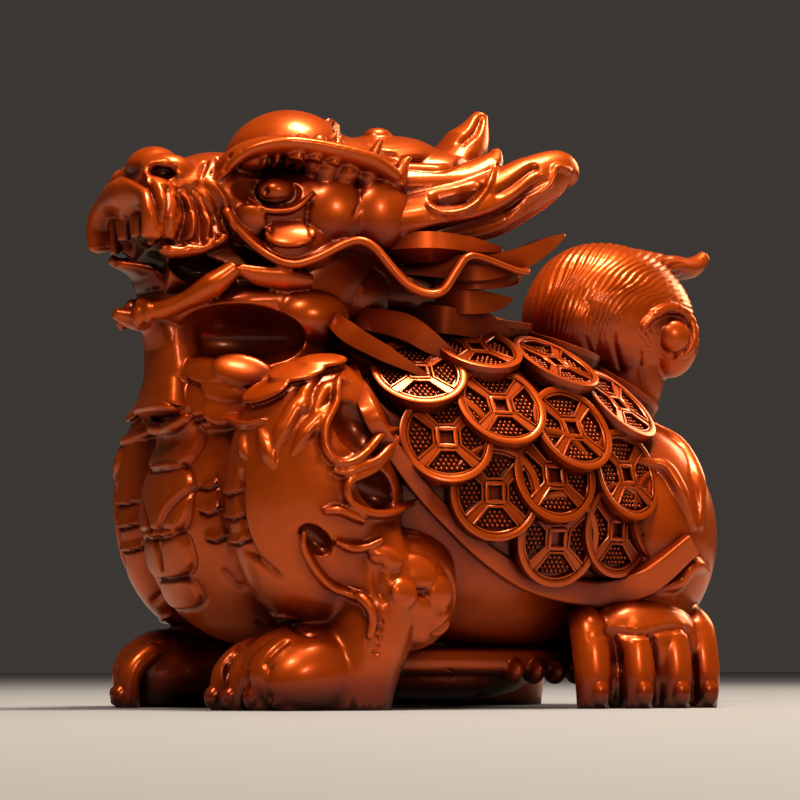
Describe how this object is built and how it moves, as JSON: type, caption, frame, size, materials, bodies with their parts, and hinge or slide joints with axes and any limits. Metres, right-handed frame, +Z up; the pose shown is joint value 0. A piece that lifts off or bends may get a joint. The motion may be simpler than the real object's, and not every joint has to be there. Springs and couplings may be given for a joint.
{
  "type": "dragon turtle figurine",
  "caption": "Carved wooden dragon turtle with raised dragon head, swept mane, coin-covered shell and curled tail, standing on four clawed feet.",
  "frame": {"origin": "on the ground under the middle of the figure's bounding box", "axes": "+Z up, the head looks along -Y, the animal's left side is +X"},
  "size_m": [0.1234, 0.2148, 0.1811],
  "materials": {
    "lacquered_wood": "polished reddish-brown lacquer"
  },
  "bodies": {
    "root": {"dragon_turtle": "lacquered_wood"}
  },
  "joints": []
}
